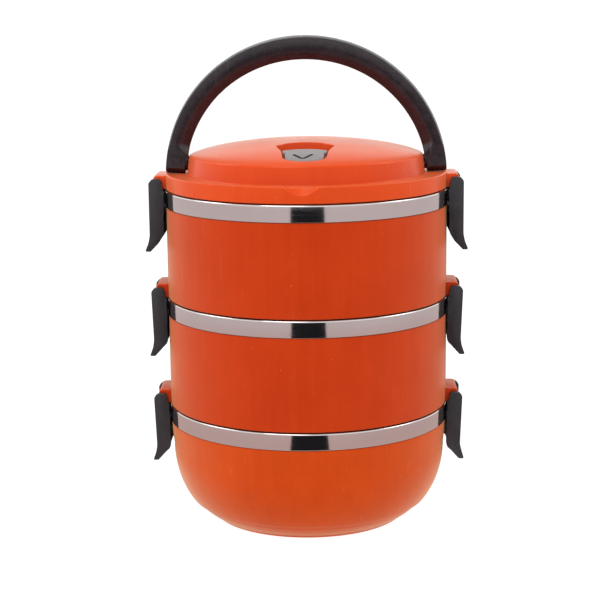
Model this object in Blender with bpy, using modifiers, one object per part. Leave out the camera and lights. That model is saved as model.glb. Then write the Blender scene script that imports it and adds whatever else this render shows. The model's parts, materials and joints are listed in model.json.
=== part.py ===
"""Three-tier tiffin carrier: a round lunch box of three stacked bowls under one lid.

Frame: +Z up, origin at the centre of the foot, front of the carrier towards -Y.
Latches sit at +X and -X, the steam vent in the front half of the lid.
"""

import math

import bmesh
import bpy
from mathutils import Matrix, Vector

MM = 0.001
GAP = 0.3 * MM

# Tiers
SEGMENTS = 36
TIER_R = 72.5 * MM
WALL = 2.4 * MM
STEEL = 0.6 * MM
RIM_1 = 60.6 * MM
PITCH = 56.3 * MM
RIM_2 = RIM_1 + PITCH
RIM_3 = RIM_2 + PITCH
SEAT = 0.6 * MM
BAND_R = TIER_R + 0.25 * MM
BAND_H = 8.4 * MM
BORE_R = TIER_R - WALL
LINER_R = BORE_R - GAP
SPIGOT_R = 68.4 * MM
SPIGOT_H = 5.4 * MM
GROOVE_R = 66.4 * MM
GROOVE_TOP = 1.2 * MM
GROOVE_H = 2.6 * MM

# Bottom bowl, an ellipse of revolution cut off flat at the foot
BOWL_TOP = 38.4 * MM
BOWL_CENTRE_R = 39.7 * MM
BOWL_AX = 31.5 * MM
BOWL_AZ = 40.6 * MM
FOOT_STEP_Z = 9.5 * MM
FOOT_STEP = 0.7 * MM
FOOT_OUT_R = 49.6 * MM
FOOT_IN_R = 46.0 * MM
FOOT_RECESS = 1.0 * MM
BOWL_FLOOR = 3.0 * MM

# Lid, heights above the top rim
FLANGE_H = 8.5 * MM
LEDGE_H = 7.9 * MM
LID_WALL = 2.2 * MM
DISC_R = 60.9 * MM
DISC_EDGE_R = 59.5 * MM
DOME_H = 25.0 * MM
DOME_DROP = 6.2 * MM
EDGE_DROP = 1.3 * MM
PLATE_R = 69.8 * MM
PLATE_T = 2.0 * MM

# Steam vent in the lid
VENT_Y = -39.0 * MM
VENT_HOLE_R = 3.8 * MM
PLUG_R = 3.0 * MM
POCKET_FLOOR = 13.5 * MM
POCKET_DEEP = 10.0 * MM
POCKET_WALL = 1.5 * MM
FLAP_T = 1.9 * MM
FLAP_HINGE_Y = -47.5 * MM
FLAP_HINGE_H = 19.4 * MM
FLAP_PIN_R = 1.1 * MM
CHIMNEY_R = 4.7 * MM

# Handle
ARCH_A = 72.2 * MM
ARCH_TOP = 77.8 * MM
ARCH_CENTRE_H = 5.7 * MM
ARCH_POWER = 2.02
ARCH_STEPS = 34
ARCH_THICK = 10.2 * MM
ARCH_THICKER = 2.0 * MM
ARCH_HALF_W = 5.5 * MM
ARCH_WIDER = 2.0 * MM
ARCH_OUT_BEVEL = 0.9 * MM
ARCH_IN_BEVEL = 4.5 * MM
ARCH_OUT_SHARE = 0.9
ARCH_IN_SHARE = 0.5
HANDLE_PIVOT_H = 14.5 * MM
END_R = 5.5 * MM
END_IN_X = 61.9 * MM
END_TOP_H = 21.5 * MM
STUD_R = 2.0 * MM
STUD_IN_X = 57.8 * MM

# Latches and the ears that carry them, heights above the rim that a latch closes on
HINGE_OUT = 4.9 * MM
HINGE_H = 3.0 * MM
HINGE_X = TIER_R + HINGE_OUT
LATCH_HALF_W = 14.2 * MM
CHANNEL_HALF_W = 11.5 * MM
EAR_HALF_W = 11.2 * MM
EAR_OUT = 5.8 * MM
EAR_ROUND_TOP = 2.4 * MM
EAR_ROUND_FOOT = 2.0 * MM
EAR_TOP = 7.5 * MM
PIN_R = 1.2 * MM
PIN_HALF_L = 12.8 * MM
PIN_HOLE_R = 1.55 * MM
RIB_TOP = -8.9 * MM
RIB_BOTTOM = -12.3 * MM
NOSE_HALF_W = 6.0 * MM
NOSE_IN = 0.6 * MM
LATCH_PLATE_IN = 5.9 * MM
LATCH_OPENING_H = -2.4 * MM
LATCH_CHANNEL_END = -24.0 * MM
LATCH_CUT_IN = -12.0 * MM
# How far each closed latch leans out about its pin, in degrees, for the left and the right side
LEANS_DEG = {"lid": (0.0, 0.0), "top": (1.8, 2.4), "middle": (2.2, 2.5)}
# How far the tip of each row's latch is raised from the standard length, in mm
TIPS_UP = {"lid": -0.2, "top": 1.3, "middle": 1.6}

ORANGE = (0.80, 0.085, 0.014, 1.0)
CHARCOAL = (0.035, 0.030, 0.034, 1.0)
STEEL_GREY = (0.62, 0.60, 0.59, 1.0)
VENT_GREY = (0.42, 0.42, 0.43, 1.0)
SILICONE = (0.80, 0.80, 0.78, 1.0)


def clear_scene():
    for obj in list(bpy.data.objects):
        bpy.data.objects.remove(obj, do_unlink=True)


def new_collection(name):
    made = bpy.data.collections.new(name)
    bpy.context.scene.collection.children.link(made)
    return made


def new_material(name, colour, roughness, metallic=0.0):
    made = bpy.data.materials.new(name)
    made.use_nodes = True
    shader = made.node_tree.nodes["Principled BSDF"]
    shader.inputs["Base Color"].default_value = colour
    shader.inputs["Roughness"].default_value = roughness
    shader.inputs["Metallic"].default_value = metallic
    made.diffuse_color = colour
    return made


def add_part(name, mesh, material, location=(0, 0, 0), rotation=(0, 0, 0)):
    obj = bpy.data.objects.new(name, mesh)
    parts.objects.link(obj)
    if not mesh.materials:
        mesh.materials.append(material)
    obj.location = location
    obj.rotation_euler = rotation
    return obj


def add_cutter(name, mesh, location=(0, 0, 0)):
    obj = bpy.data.objects.new(name, mesh)
    cutters.objects.link(obj)
    obj.hide_render = True
    obj.display_type = "WIRE"
    obj.location = location
    return obj


def cut(obj, other, operation="DIFFERENCE"):
    modifier = obj.modifiers.new(operation.title() + " " + other.name, "BOOLEAN")
    modifier.operation = operation
    modifier.object = other
    modifier.solver = "EXACT"


def turned_mesh(name, profile, closed):
    """A profile of (radius, height) points that runs down its outer side; closed joins its ends."""
    shape = bmesh.new()
    points = [shape.verts.new((radius, 0, height)) for radius, height in profile]
    for start, end in zip(points[:-1], points[1:]):
        shape.edges.new((start, end))
    if closed:
        shape.edges.new((points[-1], points[0]))
    mesh = bpy.data.meshes.new(name)
    shape.to_mesh(mesh)
    shape.free()
    return mesh


def turn(obj, segments=SEGMENTS):
    screw = obj.modifiers.new("Turn", "SCREW")
    screw.steps = segments
    screw.render_steps = segments
    screw.use_merge_vertices = True
    screw.merge_threshold = 0.00001
    screw.use_normal_calculate = False


def turned_part(name, profile, material, closed=True):
    obj = add_part(name, turned_mesh(name, profile, closed), material)
    turn(obj)
    return obj


def turned_cutter(name, profile, closed=False):
    obj = add_cutter(name, turned_mesh(name, profile, closed))
    turn(obj)
    return obj


def box_mesh(name, low, high):
    shape = bmesh.new()
    bmesh.ops.create_cube(shape, size=1.0)
    size = Vector(high) - Vector(low)
    middle = (Vector(high) + Vector(low)) / 2
    bmesh.ops.scale(shape, vec=size, verts=shape.verts)
    bmesh.ops.translate(shape, vec=middle, verts=shape.verts)
    mesh = bpy.data.meshes.new(name)
    shape.to_mesh(mesh)
    shape.free()
    return mesh


def rod_mesh(name, radius, start, end, segments):
    """A cylinder of the given radius from one point to another."""
    along = Vector(end) - Vector(start)
    turn_to = along.to_track_quat("Z", "Y").to_matrix().to_4x4()
    place = Matrix.Translation((Vector(start) + Vector(end)) / 2) @ turn_to
    shape = bmesh.new()
    bmesh.ops.create_cone(
        shape,
        cap_ends=True,
        segments=segments,
        radius1=radius,
        radius2=radius,
        depth=along.length,
        matrix=place,
    )
    mesh = bpy.data.meshes.new(name)
    shape.to_mesh(mesh)
    shape.free()
    return mesh


def slab_mesh(name, outline, low, high):
    """A flat outline in XY, filled and extruded from one height to another, as a welded mesh."""
    curve = bpy.data.curves.new(name, "CURVE")
    curve.dimensions = "2D"
    curve.fill_mode = "BOTH"
    curve.extrude = (high - low) / 2
    spline = curve.splines.new("POLY")
    spline.points.add(len(outline) - 1)
    for point, (x, y) in zip(spline.points, outline):
        point.co = (x, y, 0, 1)
    spline.use_cyclic_u = True
    holder = bpy.data.objects.new(name, curve)
    bpy.context.scene.collection.objects.link(holder)
    bpy.context.view_layer.update()
    graph = bpy.context.evaluated_depsgraph_get()
    mesh = bpy.data.meshes.new_from_object(holder.evaluated_get(graph))
    mesh.transform(Matrix.Translation((0, 0, (low + high) / 2)))
    weld(mesh)
    bpy.data.objects.remove(holder, do_unlink=True)
    bpy.data.curves.remove(curve)
    return mesh


def weld(mesh):
    shape = bmesh.new()
    shape.from_mesh(mesh)
    bmesh.ops.remove_doubles(shape, verts=shape.verts, dist=0.000001)
    bmesh.ops.recalc_face_normals(shape, faces=shape.faces)
    shape.to_mesh(mesh)
    shape.free()


def stand_up(mesh):
    """Turns a slab made in XY so that its outline lies in XZ and its thickness along Y."""
    mesh.transform(Matrix.Rotation(math.radians(90), 4, "X"))
    return mesh


def baked(obj):
    """The object's mesh with its modifiers applied; the object itself is removed."""
    bpy.context.view_layer.update()
    graph = bpy.context.evaluated_depsgraph_get()
    mesh = bpy.data.meshes.new_from_object(obj.evaluated_get(graph))
    bpy.data.objects.remove(obj, do_unlink=True)
    return mesh


def shade(obj, degrees=35):
    obj.data.shade_smooth()
    obj.data.set_sharp_from_angle(angle=math.radians(degrees))


def arc(centre, radius, start_deg, end_deg, steps):
    points = []
    for step in range(steps + 1):
        angle = math.radians(start_deg + (end_deg - start_deg) * step / steps)
        points.append((centre[0] + radius * math.cos(angle), centre[1] + radius * math.sin(angle)))
    return points


def bowl_radius(height, inset):
    """Radius of the bottom bowl at a height, for a skin lying that far inside the outer one."""
    depth = (BOWL_TOP - height) / (BOWL_AZ - inset)
    return BOWL_CENTRE_R + (BOWL_AX - inset) * math.sqrt(max(0.0, 1 - depth * depth))


def bowl_points(inset, heights):
    return [(bowl_radius(height, inset), height) for height in heights]


def neck(rim):
    """Top of a plastic wall under its steel band, from the inner corner over and down the outside."""
    return [
        (BORE_R, rim - STEEL - GAP),
        (BAND_R - STEEL - GAP, rim - STEEL - GAP),
        (BAND_R - STEEL - GAP, rim - BAND_H - GAP),
    ]


def spigot(base):
    """Plug under a tier or lid that enters the bowl below, with a groove for its seal ring."""
    return [
        (SPIGOT_R, base),
        (SPIGOT_R, base - GROOVE_TOP),
        (GROOVE_R, base - GROOVE_TOP),
        (GROOVE_R, base - GROOVE_TOP - GROOVE_H),
        (SPIGOT_R, base - GROOVE_TOP - GROOVE_H),
        (SPIGOT_R, base - SPIGOT_H + 0.6 * MM),
        (SPIGOT_R - 0.8 * MM, base - SPIGOT_H),
    ]


def ear_outline(top):
    """Side view of a latch ear: from inside the wall, over the rounded top, down to the lower edge."""
    outer = TIER_R + EAR_OUT
    low = SEAT
    points = [(TIER_R - 1.7 * MM, top)]
    points += arc((outer - EAR_ROUND_TOP, top - EAR_ROUND_TOP), EAR_ROUND_TOP, 90, 0, 4)
    points += arc((outer - EAR_ROUND_FOOT, low + EAR_ROUND_FOOT), EAR_ROUND_FOOT, 0, -90, 4)
    points.append((TIER_R - 1.7 * MM, low))
    return points


def add_ears(part, rim, top, name):
    """Two ears at +X and -X, each bored along Y for its latch pin."""
    mesh = stand_up(slab_mesh(name + "_ear", ear_outline(top), -EAR_HALF_W, EAR_HALF_W))
    for side, turn_deg in (("right", 0), ("left", 180)):
        ear = add_cutter(f"{name}_ear_{side}", mesh, (0, 0, rim))
        ear.rotation_euler = (0, 0, math.radians(turn_deg))
        cut(part, ear, "UNION")
    for side, sign in (("right", 1), ("left", -1)):
        start = (sign * HINGE_X, -EAR_HALF_W - MM, rim + HINGE_H)
        end = (sign * HINGE_X, EAR_HALF_W + MM, rim + HINGE_H)
        hole = add_cutter(f"{name}_bore_{side}", rod_mesh("bore", PIN_HOLE_R, start, end, 12))
        cut(part, hole)


def add_catches(part, rim, name):
    """Pockets in the wall just under the steel band, one at each side, that the latch noses enter."""
    top = rim - BAND_H - GAP + 0.05 * MM
    bottom = rim + RIB_BOTTOM - 1.0 * MM
    for side, sign in (("right", 1), ("left", -1)):
        near = sign * (TIER_R - 1.35 * MM)
        far = sign * (TIER_R + 2.0 * MM)
        low = (min(near, far), -NOSE_HALF_W - MM, bottom)
        high = (max(near, far), NOSE_HALF_W + MM, top)
        cut(part, add_cutter(f"{name}_catch_{side}", box_mesh("catch", low, high)))


def make_bottom_tier():
    rim = RIM_1
    outer = neck(rim)
    outer += [(TIER_R - 0.1 * MM, rim - BAND_H - GAP), (TIER_R - 0.6 * MM, 45.0 * MM)]
    outer += bowl_points(0, [z * MM for z in (37, 29, 22, 16, 11.5)])
    outer.append((bowl_radius(FOOT_STEP_Z + 0.3 * MM, 0), FOOT_STEP_Z + 0.3 * MM))
    outer += bowl_points(FOOT_STEP, [z * MM for z in (8.0, 5.0, 2.4)])
    outer += [(FOOT_OUT_R + 0.8 * MM, 0.5 * MM), (FOOT_OUT_R, 0)]
    outer += [(FOOT_IN_R, 0), (FOOT_IN_R - MM, FOOT_RECESS), (0, FOOT_RECESS)]
    heights = [z * MM for z in (8, 14, 20, 28, 38)]
    inner = [(0, BOWL_FLOOR), (bowl_radius(BOWL_FLOOR, WALL), BOWL_FLOOR)]
    inner += bowl_points(WALL, heights) + [(BORE_R, 50.0 * MM), outer[0]]
    shell = turned_part("shell_bottom", outer[1:] + inner, orange, closed=False)
    close_turn(shell)
    add_catches(shell, rim, "shell_bottom")
    shade(shell)

    skin = WALL + 0.45 * MM
    floor = BOWL_FLOOR + 0.5 * MM
    outside = bowl_points(skin, heights[::-1]) + [(bowl_radius(floor, skin), floor)]
    inside = [(0, floor + STEEL), (bowl_radius(floor, skin) - 0.3 * MM, floor + STEEL)]
    inside += [(radius - STEEL, height) for radius, height in bowl_points(skin, heights)]
    make_liner("liner_bottom", rim, 50.0 * MM, outside + [(0, floor)], inside)


def close_turn(obj):
    """Joins the two ends of a turned profile that meet off the axis at the neck."""
    mesh = obj.data
    shape = bmesh.new()
    shape.from_mesh(mesh)
    shape.verts.ensure_lookup_table()
    shape.edges.new((shape.verts[len(shape.verts) - 1], shape.verts[0]))
    shape.to_mesh(mesh)
    shape.free()


def make_liner(name, rim, wall_foot, outside, inside):
    """Steel bowl whose rim is rolled out and down over the plastic neck as the visible band."""
    band = [
        (BAND_R - STEEL, rim - STEEL),
        (LINER_R, rim - STEEL),
        (LINER_R, wall_foot),
    ]
    rim_side = [
        (LINER_R - STEEL, wall_foot + 0.3 * MM),
        (LINER_R - STEEL, rim - 0.5 * MM),
        (LINER_R - 0.1 * MM, rim),
        (BAND_R - 0.7 * MM, rim),
        (BAND_R - 0.15 * MM, rim - 0.3 * MM),
        (BAND_R, rim - 0.9 * MM),
        (BAND_R, rim - BAND_H),
        (BAND_R - STEEL, rim - BAND_H),
    ]
    profile = rim_side[2:] + band + outside + inside + rim_side[:2]
    liner = turned_part(name, profile, steel, closed=False)
    close_turn(liner)
    shade(liner)


def make_upper_tier(name, rim_below):
    base = rim_below + SEAT
    rim = rim_below + PITCH
    outer = neck(rim)
    outer += [(TIER_R, rim - BAND_H - GAP), (TIER_R, base + 1.5 * MM)]
    outer += [(TIER_R - 0.45 * MM, base + 0.45 * MM), (TIER_R - 1.5 * MM, base)]
    outer += spigot(base)
    inner = [
        (0, base - SPIGOT_H),
        (0, base - SPIGOT_H + 2.0 * MM),
        (GROOVE_R - 2.4 * MM, base - SPIGOT_H + 2.0 * MM),
        (GROOVE_R - 2.0 * MM, base + 0.5 * MM),
        (67.4 * MM, base + 2.2 * MM),
        (BORE_R, base + 6.0 * MM),
        outer[0],
    ]
    shell = turned_part("shell_" + name, outer[1:] + inner, orange, closed=False)
    close_turn(shell)
    add_ears(shell, rim_below, EAR_TOP, "shell_" + name)
    add_catches(shell, rim, "shell_" + name)
    shade(shell)

    floor = base + 0.6 * MM
    corner = [(68.8, 5.6), (66.6, 2.9), (63.6, 1.2), (59.5, 0.6)]
    outside = [(radius * MM, base + height * MM) for radius, height in corner]
    inside = [(0, floor + STEEL)]
    inside += [(radius - 0.4 * MM, height + 0.5 * MM) for radius, height in outside[::-1]]
    make_liner("liner_" + name, rim, base + 8.5 * MM, outside + [(0, floor)], inside)
    make_seal_ring("seal_ring_" + name, base)


def make_seal_ring(name, base):
    top = base - GROOVE_TOP - GAP
    bottom = base - GROOVE_TOP - GROOVE_H + GAP
    inner = GROOVE_R + GAP
    outer = LINER_R - STEEL - GAP
    middle = (top + bottom) / 2
    profile = [(inner, top), (outer - 0.5 * MM, top), (outer, middle), (outer - 0.5 * MM, bottom)]
    ring = turned_part(name, profile + [(inner, bottom)], silicone)
    shade(ring)


def dome(radius):
    share = radius / DISC_EDGE_R
    return DOME_H - DOME_DROP * share**2 - EDGE_DROP * share**8


def lid_outer_profile():
    rim = RIM_3
    profile = [(r * MM, rim + dome(r * MM)) for r in (0, 15, 29, 42, 52, 57)]
    profile += [(DISC_R - 2.0 * MM, rim + 17.0 * MM), (DISC_R - 0.8 * MM, rim + 14.9 * MM)]
    profile += [(DISC_R, rim + 9.0 * MM), (DISC_R + 0.8 * MM, rim + LEDGE_H)]
    profile += [(70.7 * MM, rim + LEDGE_H), (71.2 * MM, rim + FLANGE_H)]
    profile += [(72.0 * MM, rim + FLANGE_H - 0.2 * MM), (TIER_R, rim + FLANGE_H - 1.0 * MM)]
    profile += [(TIER_R, rim + 1.2 * MM), (TIER_R - 0.3 * MM, rim + SEAT), (0, rim + SEAT)]
    return profile


def lid_hollow_profile():
    rim = RIM_3
    profile = [(r * MM, rim + dome(r * MM) - LID_WALL) for r in (0, 20, 38, 52)]
    profile += [(56.2 * MM, rim + 15.3 * MM), (57.8 * MM, rim + 13.6 * MM)]
    profile += [(DISC_R - LID_WALL, rim + LEDGE_H - LID_WALL), (BORE_R, rim + LEDGE_H - LID_WALL)]
    profile += [(BORE_R, rim - MM), (0, rim - MM)]
    return profile


def vent_outline(grow=0.0):
    """Top view of the vent recess: wide finger scoop at the back, narrower flap seat in front."""
    right = [(0, -15.8), (8.0, -17.6), (14.6, -24.0), (11.9, -35.0), (11.4, -40.0), (10.7, -48.5)]
    right += [(9.6, -50.6), (6.4, -53.7)]
    points = right + [(0, -54.9)] + [(-x, y) for x, y in right[:0:-1]]
    middle = Vector((0, -37.0))
    grown = []
    for x, y in points:
        offset = Vector((x, y)) - middle
        grown.append((Vector((x, y)) + offset.normalized() * grow / MM) * MM)
    return [(point.x, point.y) for point in grown]


def flap_outline():
    right = [(0, -32.8), (6.0, -33.4), (11.2, -35.3), (10.9, -39.0), (9.6, -40.0)]
    right += [(9.4, -49.6), (6.0, -53.0)]
    points = right + [(0, -54.3)] + [(-x, y) for x, y in right[:0:-1]]
    return [(x * MM, y * MM) for x, y in points]


def make_lid():
    rim = RIM_3
    cover = turned_part("lid_cover", lid_outer_profile(), orange, closed=False)
    hollow = turned_cutter("lid_hollow", lid_hollow_profile())
    top = rim + DOME_H + 2.0 * MM
    seat_mesh = slab_mesh(
        "vent_seat", vent_outline(POCKET_WALL), rim + POCKET_FLOOR - POCKET_WALL, top
    )
    cut(hollow, add_cutter("vent_seat", seat_mesh))
    deep_back = FLAP_HINGE_Y + 1.2 * MM
    deep_low = (-11.6 * MM, -54.2 * MM, rim + POCKET_DEEP)
    deep_high = (11.6 * MM, deep_back, rim + POCKET_FLOOR + 2.0 * MM)
    skin = Vector((POCKET_WALL, POCKET_WALL, POCKET_WALL))
    deep_skin = box_mesh("vent_deep_skin", Vector(deep_low) - skin, Vector(deep_high) + skin)
    cut(hollow, add_cutter("vent_deep_skin", deep_skin))
    cut(cover, hollow)
    recess = slab_mesh("vent_recess", vent_outline(), rim + POCKET_FLOOR, top)
    cut(cover, add_cutter("vent_recess", recess))
    cut(cover, add_cutter("vent_deep", box_mesh("vent_deep", deep_low, deep_high)))
    hole_ends = [(0, VENT_Y, rim + POCKET_FLOOR - 4.0 * MM), (0, VENT_Y, rim + POCKET_FLOOR + MM)]
    hole = rod_mesh("vent_hole", VENT_HOLE_R, hole_ends[0], hole_ends[1], 20)
    cut(cover, add_cutter("vent_hole", hole))
    reach = 11.9 * MM
    hinge_z = rim + FLAP_HINGE_H
    socket_ends = [(-reach, FLAP_HINGE_Y, hinge_z), (reach, FLAP_HINGE_Y, hinge_z)]
    sockets = rod_mesh("flap_sockets", FLAP_PIN_R + GAP + 0.05 * MM, *socket_ends, 12)
    cut(cover, add_cutter("flap_sockets", sockets))
    for side, sign in (("right", 1), ("left", -1)):
        ends = [(sign * 55.0 * MM, 0, rim + HANDLE_PIVOT_H), (sign * 64.0 * MM, 0, rim + HANDLE_PIVOT_H)]
        socket = rod_mesh("handle_socket", STUD_R + GAP + 0.05 * MM, ends[0], ends[1], 16)
        cut(cover, add_cutter(f"handle_socket_{side}", socket))
    cut(cover, add_cutter("thumb_scoop", thumb_scoop_mesh(rim)))
    add_ears(cover, rim, EAR_TOP, "lid_cover")
    shade(cover)
    make_inner_plate(rim)
    make_seal_ring("seal_ring_lid", rim + SEAT)
    make_flap(rim)


def thumb_scoop_mesh(rim):
    """A cylinder that slopes down and out across the front rim of the lid's flange."""
    radius = 17.5 * MM
    slope = math.radians(49)
    along = Vector((0, -math.cos(slope), -math.sin(slope)))
    away = Vector((0, -math.sin(slope), math.cos(slope)))
    middle = Vector((-1.4 * MM, -TIER_R, rim + 4.4 * MM)) + away * radius
    return rod_mesh("scoop", radius, middle - along * 8 * MM, middle + along * 6 * MM, 40)


def make_inner_plate(rim):
    base = rim + SEAT
    shoulder = rim + GAP
    floor = base - SPIGOT_H
    profile = [
        (PLATE_R, rim + 2.4 * MM),
        (PLATE_R, shoulder),
        (SPIGOT_R, shoulder),
    ]
    profile += spigot(base)[1:]
    profile += [(0, floor), (0, floor + PLATE_T)]
    profile += [
        (GROOVE_R - 2.4 * MM, floor + PLATE_T),
        (GROOVE_R - 2.0 * MM, rim + 2.4 * MM),
    ]
    plate = turned_part("lid_inner_plate", profile, orange)
    top = rim + POCKET_FLOOR - POCKET_WALL - GAP
    chimney = rod_mesh("chimney", CHIMNEY_R, (0, VENT_Y, floor + MM), (0, VENT_Y, top), 20)
    cut(plate, add_cutter("chimney", chimney), "UNION")
    bore = rod_mesh("chimney_bore", VENT_HOLE_R, (0, VENT_Y, floor - MM), (0, VENT_Y, top + MM), 20)
    cut(plate, add_cutter("chimney_bore", bore))
    shade(plate)


def make_flap(rim):
    """Vent flap with its hinge studs, and the silicone plug under it; origins on the hinge axis."""
    hinge = Vector((0, FLAP_HINGE_Y, rim + FLAP_HINGE_H))
    body = slab_mesh("vent_flap", flap_outline(), rim + 10 * MM, rim + DOME_H + 2 * MM)
    flap = add_part("flap_blank", body, vent_grey)
    radii = [r * MM for r in (20, 29, 42, 52, 58)]
    layer = [(r, rim + dome(r) - 0.15 * MM) for r in radii]
    layer += [(r, rim + dome(r) - 0.15 * MM - FLAP_T) for r in radii[::-1]]
    cut(flap, turned_cutter("flap_layer", layer, closed=True), "INTERSECT")
    reach = 11.5 * MM
    start = (-reach, FLAP_HINGE_Y, hinge.z)
    studs = rod_mesh("flap_studs", FLAP_PIN_R, start, (reach, FLAP_HINGE_Y, hinge.z), 12)
    cut(flap, add_cutter("flap_studs", studs), "UNION")
    mesh = baked(flap)
    mesh.transform(Matrix.Translation(-hinge))
    shade(add_part("vent_flap", mesh, vent_grey, hinge))

    seat = rim + dome(-VENT_Y) - 0.15 * MM - FLAP_T - 0.75 * MM
    tip = rim + POCKET_FLOOR - 1.0 * MM
    profile = [(0, seat), (PLUG_R + 0.8 * MM, seat), (PLUG_R + 0.8 * MM, seat - 1.2 * MM)]
    profile += [(PLUG_R, seat - 1.8 * MM), (PLUG_R, tip + 0.8 * MM), (PLUG_R - 0.8 * MM, tip), (0, tip)]
    plug = turned_part("vent_plug", profile, silicone, closed=False)
    plug.modifiers["Turn"].steps = 20
    plug.modifiers["Turn"].render_steps = 20
    mesh = baked(plug)
    mesh.transform(Matrix.Translation(Vector((0, VENT_Y, 0)) - hinge))
    shade(add_part("vent_plug", mesh, silicone, hinge))


def arch_section(angle):
    """Eight corners of the handle's section at an angle round the arch, outer face first."""
    power = 2 / ARCH_POWER
    cosine = math.cos(angle)
    sine = math.sin(angle)
    height = ARCH_TOP - ARCH_CENTRE_H
    x = ARCH_A * math.copysign(abs(cosine) ** power, cosine)
    z = height * sine**power
    normal = Vector((x / ARCH_A**2, 0, z / height**2)).normalized()
    thick = ARCH_THICK + ARCH_THICKER * sine
    half = ARCH_HALF_W + ARCH_WIDER * min(1.0, 2.0 * max(0.0, sine - 0.15))
    outer = Vector((x, 0, RIM_3 + ARCH_CENTRE_H + z))
    front = [
        (0.0, ARCH_OUT_SHARE),
        (ARCH_OUT_BEVEL, 1.0),
        (thick - ARCH_IN_BEVEL, 1.0),
        (thick, ARCH_IN_SHARE),
    ]
    corners = [outer - normal * depth - Vector((0, half * share, 0)) for depth, share in front]
    corners += [outer - normal * depth + Vector((0, half * share, 0)) for depth, share in front[::-1]]
    return corners


def arch_mesh():
    """The arch is a loft, because its section grows from the legs to the crown."""
    start = math.asin((HANDLE_PIVOT_H + 2.0 * MM - ARCH_CENTRE_H) / (ARCH_TOP - ARCH_CENTRE_H))
    shape = bmesh.new()
    rings = []
    for step in range(ARCH_STEPS + 1):
        angle = start + (math.pi - 2 * start) * step / ARCH_STEPS
        rings.append([shape.verts.new(corner) for corner in arch_section(angle)])
    for near, far in zip(rings[:-1], rings[1:]):
        for index in range(8):
            following = (index + 1) % 8
            shape.faces.new((near[index], near[following], far[following], far[index]))
    shape.faces.new(rings[0][::-1])
    shape.faces.new(rings[-1])
    bmesh.ops.recalc_face_normals(shape, faces=shape.faces)
    mesh = bpy.data.meshes.new("handle_arch")
    shape.to_mesh(mesh)
    shape.free()
    return mesh


def end_block_mesh():
    """End of a leg: a tongue in the YZ plane, round about the pivot, as thick as the leg along X."""
    outline = [(-END_R, END_TOP_H - HANDLE_PIVOT_H)]
    outline += arc((0, 0), END_R, 180, 360, 10)
    outline.append((END_R, END_TOP_H - HANDLE_PIVOT_H))
    mesh = slab_mesh("handle_end", outline, END_IN_X, ARCH_A)
    mesh.transform(Matrix(((0, 0, 1, 0), (1, 0, 0, 0), (0, 1, 0, 0), (0, 0, 0, 1))))
    return mesh


def make_handle():
    pivot = Vector((0, 0, RIM_3 + HANDLE_PIVOT_H))
    handle = add_part("handle_blank", arch_mesh(), charcoal)
    block = end_block_mesh()
    for side, turn_deg, sign in (("right", 0, 1), ("left", 180, -1)):
        end = add_cutter(f"handle_end_{side}", block, pivot)
        end.rotation_euler = (0, 0, math.radians(turn_deg))
        cut(handle, end, "UNION")
        start = (sign * STUD_IN_X, 0, pivot.z)
        stud = rod_mesh("stud", STUD_R, start, (sign * (END_IN_X + MM), 0, pivot.z), 16)
        cut(handle, add_cutter(f"handle_stud_{side}", stud), "UNION")
    mesh = baked(handle)
    mesh.transform(Matrix.Translation(-pivot))
    shade(add_part("handle", mesh, charcoal, pivot))


def latch_outline(tip_up):
    """Side view of a latch, measured out from the tier wall and up from the rim, about its hinge."""
    points = [(0.4, -2.0), (1.2, 4.6), (2.1, 6.0)]
    points += [(5.8, 6.1), (7.1, 5.4), (7.8, 4.0), (7.9, 2.4)]
    points += [(7.9, tip_up - 23.0), (8.6, tip_up - 26.4), (10.2, tip_up - 30.4)]
    points += [(9.9, tip_up - 31.0), (7.7, tip_up - 31.0), (7.1, tip_up - 30.5)]
    points += [(3.3, tip_up - 26.6), (1.2, -23.3), (0.7, -21.4), (0.7, -13.0)]
    return [(x * MM - HINGE_OUT, z * MM - HINGE_H) for x, z in points]


def latch_mesh(tip_up):
    """Two cheeks joined by an outer plate and by a rib whose nose hooks under the steel band."""
    outline = latch_outline(tip_up)
    blank_mesh = stand_up(slab_mesh("latch", outline, -LATCH_HALF_W, LATCH_HALF_W))
    blank = add_part("latch_blank", blank_mesh, charcoal)
    plate_in = LATCH_PLATE_IN - HINGE_OUT
    plate_top = LATCH_OPENING_H - HINGE_H
    rib_top = RIB_TOP - HINGE_H
    rib_bottom = RIB_BOTTOM - HINGE_H
    lower_end = LATCH_CHANNEL_END - HINGE_H
    width = CHANNEL_HALF_W
    upper = box_mesh("upper", (LATCH_CUT_IN, -width, rib_top), (plate_in, width, 20 * MM))
    cut(blank, add_cutter("latch_upper_channel", upper))
    opening = box_mesh("opening", (LATCH_CUT_IN, -width, plate_top), (12 * MM, width, 20 * MM))
    cut(blank, add_cutter("latch_ear_opening", opening))
    lower = box_mesh("lower", (LATCH_CUT_IN, -width, lower_end), (plate_in, width, rib_bottom))
    cut(blank, add_cutter("latch_lower_channel", lower))
    nose_low = (-NOSE_IN - HINGE_OUT, -NOSE_HALF_W, rib_bottom)
    nose_high = (1.5 * MM - HINGE_OUT, NOSE_HALF_W, rib_top - 0.3 * MM)
    cut(blank, add_cutter("latch_nose", box_mesh("nose", nose_low, nose_high)), "UNION")
    sockets = rod_mesh(
        "sockets", PIN_HOLE_R, (0, -PIN_HALF_L - GAP, 0), (0, PIN_HALF_L + GAP, 0), 12
    )
    cut(blank, add_cutter("latch_pin_sockets", sockets))
    return baked(blank)


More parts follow.
